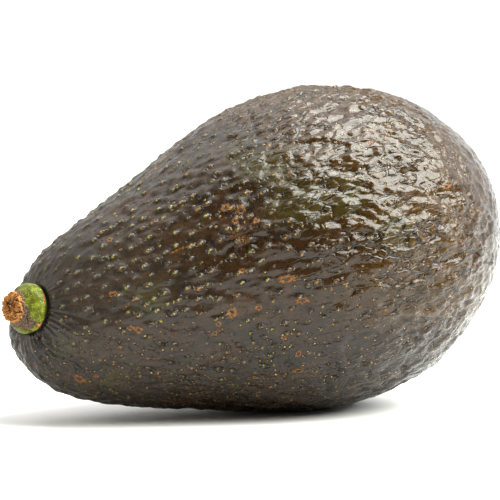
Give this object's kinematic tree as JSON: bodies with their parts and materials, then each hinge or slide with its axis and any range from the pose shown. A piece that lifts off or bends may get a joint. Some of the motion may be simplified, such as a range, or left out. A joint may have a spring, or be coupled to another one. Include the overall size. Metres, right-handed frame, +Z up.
{
  "type": "avocado",
  "caption": "Dark-skinned avocado lying on its belly, pebbled skin, green stem button with a corky broken end",
  "frame": {"origin": "centre of the bounding box on the ground, under the belly", "axes": "+Z up from the ground, +X from the stem towards the blossom end, -Y towards the side seen in the picture"},
  "size_m": [0.1144, 0.0698, 0.0691],
  "materials": {
    "skin": "satin",
    "stem": "matte"
  },
  "bodies": {
    "root": {"fruit": "skin", "stem": "stem"}
  },
  "joints": []
}
